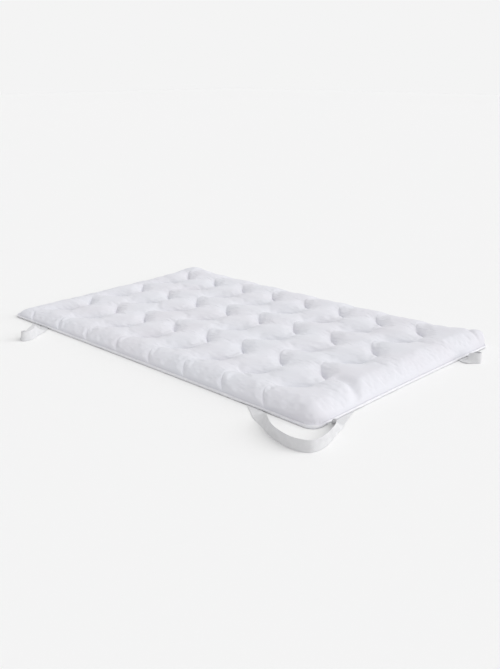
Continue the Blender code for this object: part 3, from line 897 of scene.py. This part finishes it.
strapPaths = {}
for corner in cornerSigns:
    strapPiece, strapPaths[corner], strapLength = makeStrap(corner)
    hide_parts("corner_strap_" + corner)
    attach(strapPiece, "root")
    print("strap", corner, "cut length", round(strapLength, 3))

# the binding tape round the seam
binding = {
    "depth": 0.0050,
    "top": 0.0127,
    "bottom": 0.0013,
    "bottomOverStraps": 0.0033,
    "liftOver": 0.030,  # m over which it comes down again beside a strap
    "sides": 18,
    "squareness": 0.8,  # below 1 squares the oval off
    "step": 0.004,
    "stitchGroove": 0.0004,
    "grooveAngle": 1.15,  # radians from the section's inner side
    "grooveWidth": 0.22,
    "flutter": 0.0003,
    "flutterPitch": 0.035,
    "swell": 0.06,  # share by which its depth comes and goes
    "swellPitch": 0.012,
}


def outlinePath(outwards):
    # the seam's outline: straight sides and quarter circles, in even steps, then drawn in
    radius = pad["cornerRadius"] + outwards
    centreX, centreY = halfLength - pad["cornerRadius"], halfWidth - pad["cornerRadius"]
    arc = radius * math.pi / 2
    sides = [2 * centreX, arc, 2 * centreY, arc] * 2
    stops = np.concatenate([[0], np.cumsum(sides)])
    count = round(stops[-1] / binding["step"])
    s = np.arange(count) / count * stops[-1]
    part = np.searchsorted(stops, s, side="right") - 1  # even for a straight side, odd for an arc
    along = s - stops[part]
    turn = (part // 2) * math.pi / 2
    angle = np.where(part % 2 == 1, along / radius, 0) + turn
    centres = np.array([(-1, -1), (1, -1), (1, -1), (1, 1), (1, 1), (-1, 1), (-1, 1), (-1, -1)])
    centres = centres[part] * (centreX, centreY)
    straight = np.where(part % 2 == 0, along, 0)
    x = centres[:, 0] + radius * np.sin(angle) + straight * np.cos(angle)
    y = centres[:, 1] - radius * np.cos(angle) + straight * np.sin(angle)
    outward = np.stack([np.sin(angle), -np.cos(angle)], axis=-1)
    x, y = drawIn(x, y)
    return x, y, outward, s


def tapeSpan(x, y):
    # the tape's middle height and half height: it hangs almost to the floor but is lifted over the
    # straps, by 3t^2 - 2t^3 where t falls from 1 to 0 beside the nearest one
    paths = np.concatenate(list(strapPaths.values()))
    apart = np.hypot(x[:, None] - paths[None, :, 0], y[:, None] - paths[None, :, 1]).min(axis=1)
    apart = apart - straps["width"] / 2 - binding["depth"]
    t = np.clip(1 - apart / binding["liftOver"], 0, 1)
    lift = smoothStep(t) * (binding["bottomOverStraps"] - binding["bottom"])
    bottom = binding["bottom"] + lift
    return (binding["top"] + bottom) / 2, (binding["top"] - bottom) / 2


def tapeFlutter(s):
    # slow ups and downs along the seam: flutter x noise of s / flutterPitch
    return binding["flutter"] * softNoise(s / binding["flutterPitch"], 0 * s, seed=21)


def makeBinding():
    # a squared oval carried round the seam: signed powers of cosine and sine, with a stitched dip
    # of e^-((a - grooveAngle) / grooveWidth)^2; where a noise swells its depth, its height shrinks
    x, y, outward, s = outlinePath(pad["gap"] + binding["depth"] / 2)
    middle, half = tapeSpan(x, y)
    angle = 2 * math.pi * np.arange(binding["sides"]) / binding["sides"]
    power = binding["squareness"]
    across = np.sign(np.cos(angle)) * np.abs(np.cos(angle)) ** power * binding["depth"] / 2
    up = half[:, None] * np.sign(np.sin(angle)) * np.abs(np.sin(angle)) ** power
    away = (np.abs(angle - math.pi) - binding["grooveAngle"]) / binding["grooveWidth"]
    dip = binding["stitchGroove"] * np.exp(-(away**2))
    up = up - np.sign(up) * dip
    swell = 1 + binding["swell"] * softNoise(s / binding["swellPitch"], 0 * s, seed=23)
    reach = across[None, :] * swell[:, None]
    px = x[:, None] + outward[:, :1] * reach
    py = y[:, None] + outward[:, 1:] * reach
    pz = middle[:, None] + tapeFlutter(s)[:, None] + up * (2 - swell[:, None])
    points = np.stack([px, py, pz], axis=-1)
    count = len(s)
    index = np.arange(count * binding["sides"]).reshape(count, binding["sides"])
    ahead = np.roll(index, -1, axis=0)
    quads = [index, ahead, np.roll(ahead, -1, axis=1), np.roll(index, -1, axis=1)]
    quads = np.stack(quads, axis=-1).reshape(-1, 4)
    girth = np.linspace(0, 2 * (binding["depth"] + binding["top"]), binding["sides"])
    uv = np.stack(np.broadcast_arrays(s[:, None], girth), axis=-1)
    return makePiece("edgeTape", points, [quads], tapeMaterial, uv)


tapePiece = makeBinding()
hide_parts("edge_binding")
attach(tapePiece, "root")
print("binding ready")

# the stitches of the quilting and of the tape
thread = {
    "quilt": {"pitch": 0.0042, "length": 0.0031, "thickness": 0.0007},
    "tape": {"pitch": 0.0034, "length": 0.0025, "thickness": 0.0005},
    "rings": ((-0.36, 0.6), (0.0, 1.0), (0.36, 0.6)),  # place along a stitch and girth there
    "dip": 0.3,  # share of the thickness by which its two tips lie lower
    "lift": 0.3,  # share of the thickness by which a quilting stitch lies above the cover's line
    "tapeInset": 0.18,  # share of the tape's depth by which its rows lie inside its middle
    "tapeSunk": 0.0002,  # how deep they lie in the tape
}


def readCurve(places, travelled, values):
    # straight steps between a curve's rows, each coordinate by itself
    return np.stack([np.interp(places, travelled, row) for row in values.T], axis=-1)


def makeStitches(path, ups, kind):
    # one small four-sided capsule for each stitch, laid along the path's own direction: two tips
    # and three rings of four points, whose girth is a share of the thickness
    pitch, length, thickness = thread[kind].values()
    travelled = arcLengths(path, 0)
    places = np.arange(pitch / 2, travelled[-1], pitch)
    centre = readCurve(places, travelled, path)
    before = readCurve(places - pitch / 4, travelled, path)
    ahead = unit(readCurve(places + pitch / 4, travelled, path) - before)
    up = readCurve(places, travelled, ups)
    side = unit(np.cross(ahead, up))
    up = np.cross(side, ahead)
    angles = math.pi / 4 + math.pi / 2 * np.arange(4)
    parts = [centre - ahead * length / 2 - up * thickness * thread["dip"]]
    for along, girth in thread["rings"]:
        for a in angles:
            spoke = side * math.cos(a) + up * math.sin(a)
            parts.append(centre + ahead * along * length + spoke * girth * thickness / 2)
    parts.append(centre + ahead * length / 2 - up * thickness * thread["dip"])
    points = np.stack(parts, axis=1)
    quads, tips = [], []
    for k in range(4):
        other = (k + 1) % 4
        tips.append((0, 1 + other, 1 + k))
        tips.append((13, 9 + k, 9 + other))
        for ring in (1, 5):
            quads.append((ring + k, ring + other, ring + 4 + other, ring + 4 + k))
    offset = (np.arange(len(centre)) * points.shape[1])[:, None, None]
    quads = (np.array(quads)[None] + offset).reshape(-1, 4)
    tips = (np.array(tips)[None] + offset).reshape(-1, 3)
    return points.reshape(-1, 3), quads, tips


def joinStitches(name, groups):
    # several runs of stitches as one mesh, in which each run's numbers follow the last one's
    points, quads, tips = zip(*groups)
    starts = np.cumsum([0] + [len(run) for run in points])
    quads = np.concatenate([run + start for run, start in zip(quads, starts)])
    tips = np.concatenate([run + start for run, start in zip(tips, starts)])
    piece = makePiece(name, np.concatenate(points), [quads, tips], threadMaterial)
    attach(piece, "root")


def quiltStitches():
    # stitches along each line's column of the pad's own top
    columns = flatColumns()
    groups = []
    for line in stitchLines:
        column = int(np.argmin(np.abs(columns - line)))
        path = padTop[2:-2, column].copy()
        path[:, 2] += thread["quilt"]["thickness"] * thread["lift"]
        ups = np.tile((0.0, 0.0, 1.0), (len(path), 1))
        groups.append(makeStitches(path, ups, "quilt"))
    joinStitches("quiltingStitches", groups)


def tapeStitches():
    # one row on the upper shoulder of the tape and one below
    inset = binding["depth"] * thread["tapeInset"]
    x, y, outward, s = outlinePath(pad["gap"] + binding["depth"] / 2 - inset)
    middle, half = tapeSpan(x, y)
    groups = []
    for sign in (1, -1):
        height = middle + sign * (half - thread["tapeSunk"])
        path = np.stack([x, y, height + tapeFlutter(s)], axis=-1)
        ups = np.tile((0.0, 0.0, float(sign)), (len(path), 1))
        groups.append(makeStitches(path, ups, "tape"))
    joinStitches("tapeStitches", groups)


quiltStitches()
tapeStitches()
print("stitches ready")

# the floor and the light
studio = {
    "floorSize": 60.0,
    "floorColour": "#F3F3F3",
    "floorRoughness": 0.9,
    "backdrop": "#F4F4F4",
    "skyLevel": 0.595,  # the sky's strength at the horizon
    "skyRise": 0.17,  # how much it gains up to the zenith
    # (strength, height in degrees, width in degrees, level direction to the light)
    "suns": ((0.85, 50, 45, (0.92, 0.40)), (0.85, 21, 36, (0.70, 0.71))),
}


def makeFloor():
    # one matt square at height 0, painted and without gloss
    material, shader = newMaterial("paleStudioFloor", studio["floorRoughness"], specular=0.0)
    setInputs(material, shader, {"Base Color": hexColour(studio["floorColour"])})
    half = studio["floorSize"] / 2
    points = np.array([(-half, -half, 0), (half, -half, 0), (half, half, 0), (-half, half, 0)])
    floor = makePiece("studioFloor", points, [np.array([[0, 1, 2, 3]])], material)


def makeSuns():
    # each sun is tipped by 90 degrees less its height, and turned to its direction by atan2(y, x)
    for strength, height, width, (levelX, levelY) in studio["suns"]:
        data = bpy.data.lights.new("softSun", "SUN")
        data.energy = strength
        data.angle = math.radians(width)
        sun = addObject("softSun", data)
        sun.rotation_euler = (0, math.radians(90 - height), math.atan2(levelY, levelX))


def makeSky():
    # strength = level + rise x height of the ray; the camera itself sees the plain backdrop
    world = bpy.data.worlds.new("studioWorld")
    world.use_nodes = True
    glow = world.node_tree.nodes["Background"]
    place = addNode(world, "TexCoord").outputs["Generated"]
    parts = addNode(world, "SeparateXYZ", {"Vector": place})
    height = addNode(world, "Math", {0: parts.outputs["Z"], 1: 0.0}, operation="MAXIMUM")
    rising = {0: height.outputs["Value"], 1: studio["skyRise"], 2: studio["skyLevel"]}
    strength = addNode(world, "Math", rising, operation="MULTIPLY_ADD")
    setInputs(world, glow, {"Color": (1, 1, 1, 1), "Strength": strength.outputs["Value"]})
    seen = addNode(world, "Background", {"Color": hexColour(studio["backdrop"])})
    rays = addNode(world, "LightPath").outputs["Is Camera Ray"]
    choice = {0: rays, 1: glow.outputs["Background"], 2: seen.outputs["Background"]}
    mix = addNode(world, "MixShader", choice)
    setInputs(world, world.node_tree.nodes["World Output"], {"Surface": mix.outputs["Shader"]})
    bpy.context.scene.world = world
    bpy.context.scene.view_settings.view_transform = "Standard"


makeFloor()
makeSuns()
makeSky()
print("floor and light ready")
